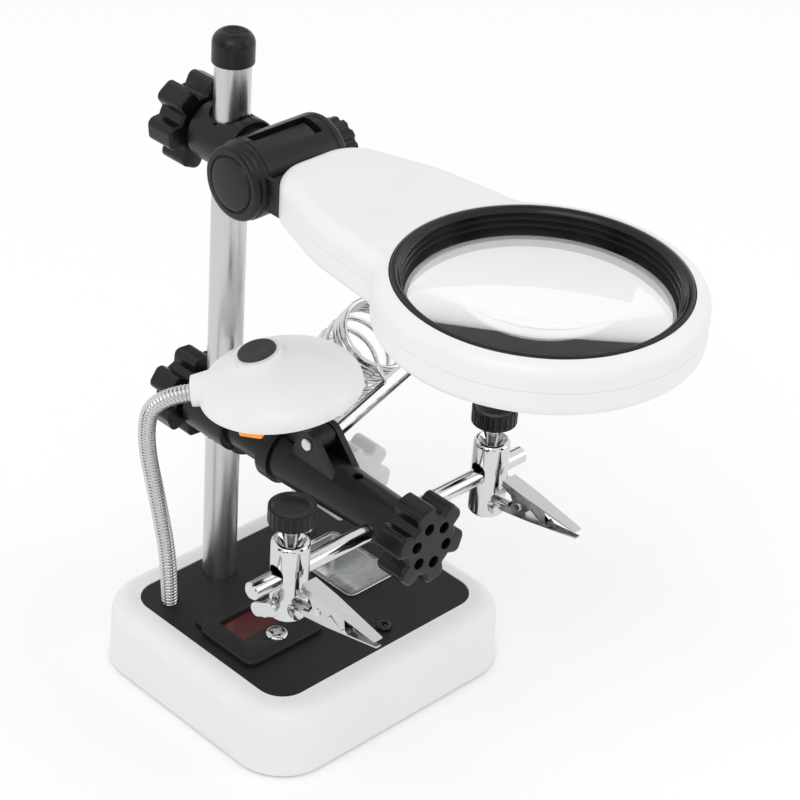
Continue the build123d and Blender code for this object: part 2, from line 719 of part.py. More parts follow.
def rest_clamp():
    body = rod_along((stem_x, rest_y[0], rest_z), Y_AXIS, rest_radius, span(rest_y))
    body = fillet(body.edges().filter_by(GeomType.CIRCLE), 1.2)
    body -= rod_along((stem_x, stem_y, rest_z - 15), Z_AXIS, stem_radius + running_gap, 30)
    body -= rod_along((stem_x, stem_y, rest_z), (0, -1, 0), knob_screw_radius + running_gap, 30)
    for side in (-1, 1):
        hole = (stem_x + side * 4.6, rest_pivot_y, rest_pivot_z)
        body -= rod_along(hole, (side, 0, 0), wire_radius + running_gap, 10)
    return body


def rest_knob():
    start = rest_y[0] - moving_gap
    knob = lobed_knob((stem_x, start - rest_knob_neck, rest_z), (0, -1, 0), 15)
    knob += rod_along((stem_x, start, rest_z), (0, -1, 0), knob_neck_radius, rest_knob_neck)
    end = stem_y - stem_radius - 0.15
    return knob + rod_along((stem_x, end, rest_z), (0, -1, 0), knob_screw_radius, end - start + 4)


def rest_plane():
    """Local frame of the wire rest: X across, Y towards the coil, Z up the legs."""
    return Plane(origin=(stem_x, rest_pivot_y, rest_pivot_z), x_dir=X_AXIS, z_dir=leg_axis)


def coil_ring(z):
    return Pos(0, coil_offset, z) * Torus(coil_radius, wire_radius)


def iron_coil():
    """One wire: two straight legs, a turned-in foot on each, and the coil that holds the iron."""
    reach = coil_offset - math.sqrt(coil_radius ** 2 - leg_spread ** 2)
    wire = None
    for side in (-1, 1):
        path = FilletPolyline((side * 4.8, 0, 0), (side * leg_spread, 0, 0), (side * leg_spread, 0, leg_length),
                              (side * leg_spread, reach, leg_length), radius=2.0)
        leg = sweep(Plane(origin=path @ 0, z_dir=path % 0) * Circle(wire_radius), path=path)
        wire = leg if wire is None else wire + leg
    top = leg_length
    wire += coil_ring(top)
    bottom = top - mouth_turns * mouth_pitch
    mouth = Pos(0, coil_offset, bottom) * Helix(mouth_pitch, mouth_turns * mouth_pitch, coil_radius)
    wide = Pos(0, coil_offset, bottom - coil_length) * Helix(coil_pitch, coil_length, coil_radius)
    for path in (mouth, wide):
        profile = Plane(origin=path @ 0, z_dir=path % 0) * Circle(wire_radius)
        wire += sweep(profile, path=path, is_frenet=True)
    return rest_plane() * wire


def write_rest():
    stem_low = deck_underside - 9
    stem = rod_along((stem_x, stem_y, stem_low), Z_AXIS, stem_radius, stem_top - stem_low)
    stem = chamfer(stem.edges().filter_by(GeomType.CIRCLE), 0.8)
    save("rest_stem", stem)
    save("rest_clamp", rest_clamp())
    save("rest_knob", rest_knob())
    save("iron_coil", iron_coil())


# --- gooseneck lamp ---------------------------------------------------------
heading = math.radians(lamp_heading)
lean = math.radians(lamp_tilt)
lamp_forward = (math.cos(heading) * math.cos(lean), math.sin(heading) * math.cos(lean), math.sin(lean))
lamp_up = (-math.cos(heading) * math.sin(lean), -math.sin(heading) * math.sin(lean), math.cos(lean))
neck_radius = 6.4
lamp_crown = (((lamp_radius - lamp_shoulder) ** 2 + lamp_height ** 2 - lamp_shoulder ** 2)
              / (2 * (lamp_height - lamp_shoulder)))
neck_height = 2.6
neck_reach = lamp_radius + 3.0
neck_flare = 6.0
neck_length = 26.0
well_depth = 6.0
well_wall = 2.4
well_proud = 2.2
conduit_fit = 0.03
base_ring_top = 3.4
socket_height = 1.4
socket_length = 9.0
wire_hole_radius = 2.4
button_height = 5.0
button_proud = 1.6
button_floor = 4.5
diffuser_radius = 24.0
amber_size = (11.0, 5.0, 5.6)
amber_place = (-11.0, -28.4, 1.0 - amber_size[2])
amber_turn = -21.0


def lamp_plane():
    """Local frame of the lamp: X from the neck to the bowl, Z up out of the bowl."""
    return Plane(origin=lamp_centre, x_dir=lamp_forward, z_dir=lamp_up)


def dome(inset=0.0):
    """The bowl, standing on its rim: a round shoulder that runs into a flatter crown."""
    shoulder = lamp_shoulder - inset
    shoulder_x = lamp_radius - lamp_shoulder
    crown = lamp_crown - inset
    crown_low = lamp_height - lamp_crown
    turn = math.atan2(-crown_low, shoulder_x)
    join = (crown * math.cos(turn), crown_low + crown * math.sin(turn))
    shoulder_middle = (shoulder_x + shoulder * math.cos(turn / 2), shoulder * math.sin(turn / 2))
    crown_turn = (turn + math.pi / 2) / 2
    crown_middle = (crown * math.cos(crown_turn), crown_low + crown * math.sin(crown_turn))
    rim = (lamp_radius - inset, 0)
    top = (0, lamp_height - inset)
    outline = make_face([ThreePointArc(rim, shoulder_middle, join), ThreePointArc(join, crown_middle, top),
                         Line(top, (0, 0)), Line((0, 0), rim)])
    return revolve(Plane.XZ * outline, Axis.Z)


def button_plane():
    """Where the button sits on the crown, facing straight out of it."""
    lean_back = math.asin(button_back / lamp_crown)
    height = lamp_height - lamp_crown + lamp_crown * math.cos(lean_back)
    return Plane(origin=(-button_back, 0, height), x_dir=(math.cos(lean_back), 0, math.sin(lean_back)),
                 z_dir=(-math.sin(lean_back), 0, math.cos(lean_back)))


def lamp_shell():
    """The bowl-shaped shade with its neck and the button's well, hollow below."""
    shell = dome()
    neck = cone_along((-neck_reach, 0, neck_height), X_AXIS, neck_radius, neck_radius + neck_flare, neck_length)
    shell += neck - block((-60, 60), (-60, 60), (-40, 0))
    shell += lamp_socket(neck_radius)
    well = Pos(0, 0, -well_depth) * Cylinder(button_radius + well_wall, well_depth + well_proud, align=FROM_END)
    well = button_plane() * well
    shell += well
    shell -= dome(lamp_wall) - well
    bore = Pos(0, 0, -button_floor) * Cylinder(button_radius + running_gap, 2 * well_depth, align=FROM_END)
    shell -= button_plane() * bore
    shell -= lamp_plane().to_local_coords(gooseneck(gooseneck_radius + conduit_fit))
    return shell - rod_along((-neck_reach + 2, 0, socket_height), X_AXIS, wire_hole_radius, socket_length)


def lamp_socket(radius):
    """The round end of the lamp's neck, where the gooseneck enters."""
    return rod_along((-neck_reach, 0, socket_height), X_AXIS, radius, socket_length)


def gooseneck(radius):
    """The flexible steel conduit that holds the lamp and carries its wires."""
    path = FilletPolyline(*gooseneck_points, radius=gooseneck_bends)
    return sweep(Plane(origin=path @ 0, z_dir=path % 0) * Circle(radius), path=path)


def bend_radii(points, share=0.45):
    """The largest bend at each inner point that leaves room for its neighbours."""
    radii = []
    for before, corner, after in zip(points, points[1:], points[2:]):
        first = Vector(corner) - Vector(before)
        second = Vector(after) - Vector(corner)
        half_turn = math.radians(first.get_angle(second)) / 2
        radii.append(share * min(first.length, second.length) / math.tan(half_turn))
    return radii


gooseneck_bends = bend_radii(gooseneck_points)


def write_lamp():
    place = lamp_plane()
    save("gooseneck", gooseneck(gooseneck_radius))
    save("lamp_shell", place * lamp_shell())
    inner_shoulder = math.sqrt((lamp_shoulder - lamp_wall) ** 2 - base_ring_top ** 2)
    ring_radius = lamp_radius - lamp_shoulder + inner_shoulder - 0.1
    ring = Cylinder(ring_radius, base_ring_top - 1.0, align=FROM_END)
    ring -= Cylinder(diffuser_radius + 0.1, base_ring_top, align=FROM_END)
    save("lamp_base_ring", place * (Pos(0, 0, 1.0) * ring - lamp_socket(neck_radius + 0.1)))
    diffuser = fillet(Cylinder(diffuser_radius, 3.4, align=FROM_END).edges().sort_by(Axis.Z)[0], 1.2)
    save("lamp_diffuser", place * (Pos(0, 0, -0.6) * diffuser))
    button = Cylinder(button_radius, button_height, align=FROM_END)
    button = fillet(button.edges().sort_by(Axis.Z)[-1], 1.0)
    button -= Pos(0, 0, button_height + 21.2) * Sphere(22)
    save("lamp_button", place * (button_plane() * (Pos(0, 0, button_proud + well_proud - button_height) * button)))
    amber = Pos(*amber_place) * Rot(0, 0, amber_turn) * Box(*amber_size, align=(CENTRE, CENTRE, LOW))
    amber = fillet(amber.edges(), 1.2)
    save("lamp_amber_led", place * amber)


# --- magnifier head ---------------------------------------------------------
hinge_z = upper_clamp_z
hinge_bolt_reach = cheek_outer - 2.6
hinge_knob_radius = 12.0
hinge_knob_thickness = 9.0
bridge_y = (-15.0, hinge_y - barrel_radius - 0.8)
head_top = lens_top_z - 0.4
head_bottom = head_top - head_height
head_middle = (head_top + head_bottom) / 2
neck_rear = hinge_y - barrel_radius - 1.2
bezel_depth = 11.0
glass_edge = 3.0
glass_crown = 4.5
glass_seat_drop = 0.55         # the glass rests on the inner edge of its seat
neck_blend = 14.0
neck_corner = 20.0
neck_shoulder = 42.0
neck_taper = 15.0
neck_side_radius = 60.0


def upper_clamp_body():
    z = hinge_z
    body = clamp_boss(z)
    body += rod_along((column_x, hinge_y, z), Y_AXIS, rear_tube_radius, column_y - hinge_y)
    body += rod_along((column_x - barrel_half, hinge_y, z), X_AXIS, barrel_radius, 2 * barrel_half)
    slot_y = (hinge_y - 1.5, hinge_y + 3.5)
    top = z + barrel_radius
    body -= block((column_x - barrel_half + 3, column_x + barrel_half - 4), slot_y, (top - 3.0, top + 2))
    hook_x = (column_x + barrel_half - 8, column_x + barrel_half - 4)
    body -= block(hook_x, (hinge_y - 8.5, slot_y[1]), (top - 4.0, top + 2))
    body -= rod_along((column_x - 30, hinge_y, z), X_AXIS, hinge_bolt_radius + running_gap, 60)
    return bored_for_column(body, z)


def head_yoke():
    """The fork that holds the head: a cheek at each end of the barrel, joined in front."""
    z = hinge_z
    inner = barrel_half + moving_gap
    yoke = None
    for side in (-1, 1):
        face_x = column_x + side * inner
        thickness = cheek_outer - inner
        cheek = rod_along((face_x, hinge_y, z), (side, 0, 0), barrel_radius, thickness)
        outer_edge = cheek.edges().filter_by(GeomType.CIRCLE).sort_by(Axis.X)[0 if side < 0 else -1]
        cheek = fillet(outer_edge, 3.6)
        arm_x = sorted((face_x, face_x + side * 2.4))
        cheek += block(arm_x, (bridge_y[0], hinge_y), (z - 7.0, z + 8.0))
        yoke = cheek if yoke is None else yoke + cheek
    yoke += block((column_x - inner - 2.4, column_x + inner + 2.4), bridge_y, (z - 6.0, z + 8.0))
    return yoke - rod_along((column_x - hinge_bolt_reach, hinge_y, z), X_AXIS, hinge_bolt_radius + running_gap,
                            hinge_bolt_reach + cheek_outer + 1)


def hinge_knob():
    """The hinge's tightening knob, with the bolt that it carries through the barrel."""
    bolt = rod_along((column_x - hinge_bolt_reach, hinge_y, hinge_z), X_AXIS, hinge_bolt_radius,
                     hinge_bolt_reach + cheek_outer + 2)
    face = (column_x + cheek_outer + moving_gap, hinge_y, hinge_z)
    knob = rod_along(face, X_AXIS, hinge_knob_radius, hinge_knob_thickness)
    for i in range(12):
        angle = math.radians(i * 30)
        place = (face[0] - 1, hinge_y + (hinge_knob_radius + 0.6) * math.cos(angle),
                 hinge_z + (hinge_knob_radius + 0.6) * math.sin(angle))
        knob -= rod_along(place, X_AXIS, 1.7, hinge_knob_thickness + 2)
    return knob + bolt


def head_outline(grow=0.0):
    """Plan of the housing: a round bowl that blends into a neck, which narrows to the hinge."""
    rear = neck_rear - lens_y + grow
    shoulder = rear - neck_shoulder
    blend_x = neck_half_front + neck_blend
    blend_y = math.sqrt((head_radius + neck_blend) ** 2 - blend_x ** 2)
    bowl_share = (head_radius + grow) / (head_radius + neck_blend)
    bowl_end = Vector(blend_x, blend_y) * bowl_share
    half_way = (Vector(-1, 0) - Vector(blend_x, blend_y).normalized()).normalized()
    blend_middle = Vector(blend_x, blend_y) + half_way * (neck_blend - grow)
    neck = FilletPolyline((neck_half_front + grow, blend_y), (neck_half_rear + neck_taper + grow, shoulder),
                          (neck_half_rear + grow, rear), (-neck_half_rear - grow, rear),
                          (-neck_half_rear - neck_taper - grow, shoulder), (-neck_half_front - grow, blend_y),
                          radius=(neck_side_radius, neck_corner + grow, neck_corner + grow,
                                  neck_side_radius))
    bowl = ThreePointArc(bowl_end, (0, -head_radius - grow), (-bowl_end.X, bowl_end.Y))
    right = ThreePointArc((neck_half_front + grow, blend_y), blend_middle, bowl_end)
    left = ThreePointArc((-neck_half_front - grow, blend_y), (-blend_middle.X, blend_middle.Y),
                         (-bowl_end.X, bowl_end.Y))
    return make_face([*neck.edges(), right, bowl, left])


def head_block(grow, low, high):
    outline = Pos(*lens_centre, low) * head_outline(grow)
    return extrude(outline, high - low)


def head_shells():
    """The two white halves of the housing, split level at mid height."""
    solid = head_block(0, head_bottom, head_top)
    solid = fillet(solid.faces().sort_by(Axis.Z)[-1].edges(), 6.0)
    solid = fillet(solid.faces().sort_by(Axis.Z)[0].edges(), 4.0)
    solid -= head_block(-head_wall, head_bottom + head_wall, head_top - head_wall)
    collar = rod_along((*lens_centre, head_bottom + 1), Z_AXIS, bezel_radius + 2.3, head_height - 2)
    solid += collar
    solid -= rod_along((*lens_centre, head_top - bezel_depth), Z_AXIS, bezel_radius + 0.1, bezel_depth + 1)
    solid -= rod_along((*lens_centre, head_bottom - 1), Z_AXIS, lens_radius - 3.0, head_height)
    seat_depth = bezel_depth + glass_edge + glass_seat_drop
    solid -= rod_along((*lens_centre, head_top - seat_depth), Z_AXIS, lens_radius + 0.1, seat_depth)
    solid -= block(grown((column_x, column_x), barrel_half + moving_gap + 2.6), (bridge_y[0] - 0.2, 10),
                   (hinge_z - 7.2, hinge_z + 8.2))
    slab = Pos(column_x, lens_y, head_middle) * Box(400, 500, 0.1)
    halves = (solid - slab).solids().sort_by(Axis.Z)
    return halves[0], halves[-1]


def lens_bezel():
    low = head_top - bezel_depth + 0.35
    ring = rod_along((*lens_centre, low), Z_AXIS, bezel_radius, lens_top_z - low)
    ring = fillet(ring.edges().filter_by(GeomType.CIRCLE).sort_by(Axis.Z)[-1], 1.4)
    ring -= cone_along((*lens_centre, low), Z_AXIS, bezel_radius - bezel_width, bezel_radius - bezel_width + 2.6, 12)
    return ring


def lens():
    """A thick biconvex glass, seated under the bezel."""
    edge_low = head_top - bezel_depth - glass_edge
    rim = lens_radius
    crown = (rim ** 2 + glass_crown ** 2) / (2 * glass_crown)
    upper = Pos(0, 0, edge_low + glass_edge + glass_crown - crown) * Sphere(crown)
    lower = Pos(0, 0, edge_low - glass_crown + crown) * Sphere(crown)
    body = rod_along((0, 0, edge_low - glass_crown), Z_AXIS, rim, glass_edge + 2 * glass_crown)
    return Pos(*lens_centre, 0) * (body & upper & lower)


def write_head():
    z = hinge_z
    save("upper_clamp_bush", column_bush(z))
    save("upper_clamp_body", upper_clamp_body())
    save("upper_clamp_knob", clamp_knob(z, 24))
    save("head_yoke", head_yoke())
    save("hinge_knob", hinge_knob())
    bottom, top = head_shells()
    save("head_bottom_shell", bottom)
    save("head_top_shell", top)
    save("lens_bezel", lens_bezel())
    save("lens", lens())


if __name__ == "__main__":
    os.makedirs("parts", exist_ok=True)
    write_base()
    write_column()
    write_lower_arm()
    write_carriages()
    write_rest()
    write_lamp()
    write_head()
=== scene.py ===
import json
import math

import bmesh
import bpy
from mathutils import Matrix, Vector


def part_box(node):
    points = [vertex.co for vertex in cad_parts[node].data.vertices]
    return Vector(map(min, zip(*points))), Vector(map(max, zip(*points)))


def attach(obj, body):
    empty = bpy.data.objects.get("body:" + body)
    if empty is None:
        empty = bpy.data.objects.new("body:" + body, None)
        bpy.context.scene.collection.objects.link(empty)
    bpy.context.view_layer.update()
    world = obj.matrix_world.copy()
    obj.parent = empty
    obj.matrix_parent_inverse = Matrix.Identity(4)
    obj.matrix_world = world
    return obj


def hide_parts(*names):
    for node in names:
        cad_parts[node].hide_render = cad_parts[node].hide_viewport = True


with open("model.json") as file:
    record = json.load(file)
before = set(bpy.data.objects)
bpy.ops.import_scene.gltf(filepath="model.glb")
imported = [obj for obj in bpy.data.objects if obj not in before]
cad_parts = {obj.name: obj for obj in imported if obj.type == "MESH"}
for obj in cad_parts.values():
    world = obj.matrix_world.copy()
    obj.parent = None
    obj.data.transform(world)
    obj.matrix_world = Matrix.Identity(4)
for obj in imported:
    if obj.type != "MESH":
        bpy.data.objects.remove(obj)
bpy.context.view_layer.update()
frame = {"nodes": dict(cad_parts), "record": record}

# --- base shell --------------------------------------------------------------
# The weighted base's cover: one injection-moulded white ABS shell with a lightly
# sparked skin, screwed to the bottom cover through four bosses.
nodes = frame["nodes"]
behaviour = frame["record"]["behaviour"]
body_of = {node: body for body, members in behaviour["bodies"].items() for node in members}
MM = 0.001
weld_gap = 0.002 * MM


def new_group(name, inputs, outputs):
    """An empty shader group with its sockets; returns it with its two end nodes."""
    group = bpy.data.node_groups.new(name, "ShaderNodeTree")
    for socket_type, label, value in inputs:
        socket = group.interface.new_socket(label, in_out="INPUT", socket_type=socket_type)
        socket.default_value = value
    for socket_type, label in outputs:
        group.interface.new_socket(label, in_out="OUTPUT", socket_type=socket_type)
    return group, group.nodes.new("NodeGroupInput"), group.nodes.new("NodeGroupOutput")


def add_node(tree, kind, links=(), **settings):
    """A node with its settings, and links given as (source socket, input name or number)."""
    node = tree.nodes.new(kind)
    for key, value in settings.items():
        setattr(node, key, value)
    for source, target in links:
        if isinstance(source, bpy.types.NodeSocket):
            tree.links.new(source, node.inputs[target])
        else:
            node.inputs[target].default_value = source
    return node


def maths(tree, operation, *values):
    """The result of a Math node on sockets or numbers."""
    links = [(value, number) for number, value in enumerate(values)]
    return add_node(tree, "ShaderNodeMath", links, operation=operation).outputs[0]


def scaled(tree, colour, factor):
    """A colour or vector times a number."""
    links = ((colour, 0), (factor, "Scale"))
    return add_node(tree, "ShaderNodeVectorMath", links, operation="SCALE").outputs[0]


def noise(tree, place, scale, detail, *more):
    """A noise pattern's 0-1 value."""
    links = ((place, "Vector"), (scale, "Scale"), (detail, "Detail"), *more)
    return add_node(tree, "ShaderNodeTexNoise", links).outputs["Fac"]


def spread(tree, source, low, high, start=0.0, end=1.0):
    """Turn the part of a pattern from start to end into a value between low and high."""
    links = ((source, "Value"), (start, "From Min"), (end, "From Max"), (low, "To Min"), (high, "To Max"))
    return add_node(tree, "ShaderNodeMapRange", links).outputs["Result"]


COLOUR, VALUE, PLACE = "NodeSocketColor", "NodeSocketFloat", "NodeSocketVector"
skin_outputs = ((COLOUR, "Colour"), (VALUE, "Roughness"), (VALUE, "Height"))
slow_per_metre = 34.0
specks_per_metre = 620.0
dust_colour = (0.62, 0.6, 0.56, 1)


def moulded_skin_group():
    """Sparked plastic: a fine grain, slow changes of tone and gloss, and a little settled dust."""
    inputs = ((COLOUR, "Colour", (0.8, 0.8, 0.8, 1)), (VALUE, "Roughness", 0.4),
              (VALUE, "Grain per metre", 1100.0), (VALUE, "Tone spread", 0.04),
              (VALUE, "Gloss spread", 0.08), (VALUE, "Dust", 0.02))
    group, source, out = new_group("moulded skin", inputs, skin_outputs)
    place = add_node(group, "ShaderNodeTexCoord").outputs["Object"]
    grain = noise(group, place, source.outputs["Grain per metre"], 2.0)
    slow = noise(group, place, slow_per_metre, 3.0)
    specks = noise(group, place, specks_per_metre, 4.0)
    normal = add_node(group, "ShaderNodeNewGeometry").outputs["Normal"]
    facing = add_node(group, "ShaderNodeSeparateXYZ", ((normal, 0),)).outputs["Z"]
    upward = spread(group, facing, 0.0, 1.0, 0.5, 1.0)
    dust = maths(group, "MULTIPLY", spread(group, specks, 0.0, 1.0, 0.58, 0.72), upward)
    dust = maths(group, "MULTIPLY", dust, source.outputs["Dust"])
    tone = maths(group, "MULTIPLY", spread(group, slow, -1.0, 1.0, 0.25, 0.75), source.outputs["Tone spread"])
    toned = scaled(group, source.outputs["Colour"], maths(group, "ADD", tone, 1.0))
    dusted = add_node(group, "ShaderNodeMix", ((dust, "Factor"),), data_type="RGBA")
    group.links.new(toned, dusted.inputs["A"])
    dusted.inputs["B"].default_value = dust_colour
    gloss = maths(group, "MULTIPLY", spread(group, slow, -0.5, 0.5, 0.3, 0.7), source.outputs["Gloss spread"])
    rough = maths(group, "ADD", source.outputs["Roughness"], gloss)
    rough = maths(group, "ADD", rough, dust)
    group.links.new(dusted.outputs["Result"], out.inputs["Colour"])
    group.links.new(rough, out.inputs["Roughness"])
    group.links.new(grain, out.inputs["Height"])
    return group


moulded_skin = moulded_skin_group()


def new_finish(name, skin, colour, roughness, bump, settings=(), **values):
    """A material whose colour, roughness and bump come from a skin group; other values are plain."""
    material = bpy.data.materials.new(name)
    material.use_nodes = True
    tree = material.node_tree
    shader = tree.nodes["Principled BSDF"]
    node = add_node(tree, "ShaderNodeGroup", node_tree=skin)
    node.inputs["Colour"].default_value = (*colour, 1)
    node.inputs["Roughness"].default_value = roughness
    for label, value in values.items():
        node.inputs[label.replace("_", " ")].default_value = value
    relief = add_node(tree, "ShaderNodeBump", ((node.outputs["Height"], "Height"), (bump, "Distance"),
                                               (1.0, "Strength")))
    tree.links.new(node.outputs["Colour"], shader.inputs["Base Color"])
    tree.links.new(node.outputs["Roughness"], shader.inputs["Roughness"])
    tree.links.new(relief.outputs["Normal"], shader.inputs["Normal"])
    for label, value in settings:
        shader.inputs[label].default_value = value
    return material


def dress(material, *names):
    """Give CAD shapes that stay as they are their finish."""
    for name in names:
        mesh = nodes[name].data
        mesh.materials.clear()
        mesh.materials.append(material)


white_abs = new_finish("white ABS", moulded_skin, (0.86, 0.86, 0.855), 0.36, 0.000012,
                       Tone_spread=0.012, Dust=0.0)
dress(white_abs, "base_shell")

# --- bottom cover, feet and ballast ------------------------------------------
# A black cover closes the base from below, a cast plate gives it its weight, and
# four rubber discs keep it from sliding; four countersunk screws hold the cover.
SATIN = (("Specular IOR Level", 0.3),)
black_abs = new_finish("black ABS", moulded_skin, (0.007, 0.007, 0.008), 0.33, 0.00002, SATIN, Dust=0.008)
rubber = new_finish("rubber", moulded_skin, (0.02, 0.02, 0.021), 0.78, 0.00006, SATIN,
                    Grain_per_metre=700.0, Dust=0.05)
cast_iron = new_finish("cast iron", moulded_skin, (0.07, 0.068, 0.065), 0.7, 0.0003, Grain_per_metre=320.0)


def metal_skin_group():
    """Worked metal: streaks along one direction, faint smears and slow changes of tone."""
    inputs = ((COLOUR, "Colour", (0.7, 0.7, 0.7, 1)), (VALUE, "Roughness", 0.2),
              (PLACE, "Streaks per metre", (900.0, 900.0, 12.0)), (VALUE, "Streak spread", 0.1),
              (VALUE, "Smear spread", 0.06))
    group, source, out = new_group("metal skin", inputs, skin_outputs)
    place = add_node(group, "ShaderNodeTexCoord").outputs["Object"]
    links = ((place, 0), (source.outputs["Streaks per metre"], 1))
    stretched = add_node(group, "ShaderNodeVectorMath", links, operation="MULTIPLY").outputs[0]
    streak = noise(group, stretched, 1.0, 4.0, (0.62, "Roughness"))
    smear = noise(group, place, smears_per_metre, 5.0, (0.8, "Distortion"))
    streaked = spread(group, streak, -1.0, 1.0, 0.28, 0.72)
    streaked = maths(group, "MULTIPLY", streaked, source.outputs["Streak spread"])
    smeared = spread(group, smear, 0.0, 1.0, 0.45, 0.8)
    smeared = maths(group, "MULTIPLY", smeared, source.outputs["Smear spread"])
    rough = maths(group, "ADD", source.outputs["Roughness"], streaked)
    rough = maths(group, "ADD", rough, smeared)
    bright = maths(group, "MULTIPLY_ADD", streaked, 0.6, 1.0)
    group.links.new(scaled(group, source.outputs["Colour"], bright), out.inputs["Colour"])
    group.links.new(rough, out.inputs["Roughness"])
    group.links.new(streak, out.inputs["Height"])
    return group


smears_per_metre = 90.0
metal_skin = metal_skin_group()
METAL = (("Metallic", 1.0),)
zinc_steel = new_finish("zinc plated steel", metal_skin, (0.55, 0.56, 0.57), 0.3, 0.00001, METAL,
                        Streaks_per_metre=(300.0, 300.0, 300.0))
dress(black_abs, "base_bottom_cover")
dress(rubber, "rubber_feet")
dress(zinc_steel, "cover_screws")
dress(cast_iron, "ballast_plate")


# --- deck plate ----------------------------------------------------------------
# A black satin plate sits in the shell's recess with a hairline gap round it, and
# one small dark screw holds its front edge.
def softened(node, width, material, segments=3, angle=32.0):
    """A CAD shape with its sharp edges rounded, as a mould or a polishing drum leaves them."""
    mesh = bpy.data.meshes.new(f"{node}_soft")
    shape = bmesh.new()
    shape.from_mesh(nodes[node].data)
    bmesh.ops.remove_doubles(shape, verts=shape.verts, dist=weld_gap)
    bmesh.ops.dissolve_limit(shape, angle_limit=math.radians(0.6), verts=shape.verts, edges=shape.edges)
    bmesh.ops.recalc_face_normals(shape, faces=shape.faces)
    shape.to_mesh(mesh)
    shape.free()
    piece = add_piece(f"{node}_soft", mesh, material)
    edge = piece.modifiers.new("rounded edges", "BEVEL")
    edge.width = width
    edge.segments = segments
    edge.limit_method = "ANGLE"
    edge.angle_limit = math.radians(angle)
    edge.harden_normals = True
    edge.miter_outer = "MITER_ARC"
    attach(piece, body_of[node])
    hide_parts(node)
    return piece


def add_piece(name, mesh, material):
    """Put a finished mesh in the scene, smooth, with its finish."""
    piece = bpy.data.objects.new(name, mesh)
    bpy.context.scene.collection.objects.link(piece)
    mesh.shade_smooth()
    mesh.set_sharp_from_angle(angle=math.radians(40))
    mesh.materials.clear()
    mesh.materials.append(material)
    return piece


deck_black = new_finish("satin deck black", moulded_skin, (0.009, 0.009, 0.01), 0.46, 0.00003, SATIN,
                        Grain_per_metre=1500.0, Dust=0.012)
dark_screw = new_finish("blackened steel", metal_skin, (0.05, 0.05, 0.052), 0.3, 0.00001, METAL,
                        Streaks_per_metre=(400.0, 400.0, 400.0))
softened("deck_plate", 0.35 * MM, deck_black)
dress(dark_screw, "deck_screw")

# --- parts tray ----------------------------------------------------------------
# A deep-drawn tray of polished steel hangs in the deck by its lip.
drawn_steel = new_finish("drawn steel", metal_skin, (0.6, 0.61, 0.61), 0.2, 0.00001, METAL,
                         Streaks_per_metre=(40.0, 700.0, 40.0), Streak_spread=0.07)
softened("parts_tray", 0.35 * MM, drawn_steel)

# --- battery door --------------------------------------------------------------
# A raised black door with rounded corners closes the battery box; a dark red window
# is set into it, and a bright cross-head screw holds it shut.
red_window = new_finish("dark red window", moulded_skin, (0.075, 0.008, 0.01), 0.12, 0.000004,
                        (("Coat Weight", 0.2), ("Coat Roughness", 0.04)), Gloss_spread=0.05, Dust=0.01)
cell_film = new_finish("cell film", moulded_skin, (0.03, 0.12, 0.06), 0.25, 0.000006)
bright_plate = new_finish("bright plating", metal_skin, (0.66, 0.665, 0.67), 0.08, 0.000004, METAL,
                          Streaks_per_metre=(160.0, 160.0, 160.0), Streak_spread=0.03)
softened("battery_door", 0.5 * MM, deck_black)
dress(red_window, "indicator_window")
softened("door_screw", 0.22 * MM, bright_plate)
dress(black_abs, "battery_box")
dress(cell_film, "battery_cells")
dress(zinc_steel, "panel_nuts")

# --- column --------------------------------------------------------------------
# A brushed steel tube stands in the base on a plug and one bolt, and a domed black
# cap with a raised ring closes its top.
brushed_steel = new_finish("brushed steel", metal_skin, (0.6, 0.605, 0.61), 0.3, 0.000008, METAL,
                           Streaks_per_metre=(900.0, 900.0, 1.0), Streak_spread=0.05, Smear_spread=0.02)
dress(brushed_steel, "column_tube")
dress(zinc_steel, "column_plug", "column_bolt")
softened("column_cap", 0.3 * MM, black_abs)

# --- lower clamp ---------------------------------------------------------------
# A moulded boss and tube ride on a split bush; the six-lobed knob behind tightens
# them on the column.
knob_black = new_finish("knob black", moulded_skin, (0.006, 0.006, 0.007), 0.28, 0.000025, SATIN,
                        Grain_per_metre=900.0, Dust=0.012)
dress(black_abs, "lower_clamp_bush")
softened("lower_clamp_body", 0.7 * MM, black_abs)
softened("lower_clamp_knob", 1.1 * MM, knob_black)

# --- front arm -----------------------------------------------------------------
# The arm hinges on a plated pin between two ears; its front knob pushes a brass
# plunger against the dark split sleeve that grips the cross rod.
turned_brass = new_finish("turned brass", metal_skin, (0.63, 0.45, 0.17), 0.22, 0.00001, METAL,
                          Streaks_per_metre=(60.0, 60.0, 1400.0))
dress(bright_plate, "arm_pin")
softened("front_arm", 0.7 * MM, black_abs)
softened("front_knob", 1.1 * MM, knob_black)
dress(turned_brass, "rod_plunger")
dress(dark_screw, "rod_sleeve")

# --- cross rod -----------------------------------------------------------------
# Ground and plated steel rod that carries the two clip carriages.
plated_rod = new_finish("plated rod", metal_skin, (0.66, 0.665, 0.67), 0.11, 0.000004, METAL,
                        Streaks_per_metre=(14.0, 900.0, 900.0), Streak_spread=0.04)
dress(plated_rod, "cross_rod")


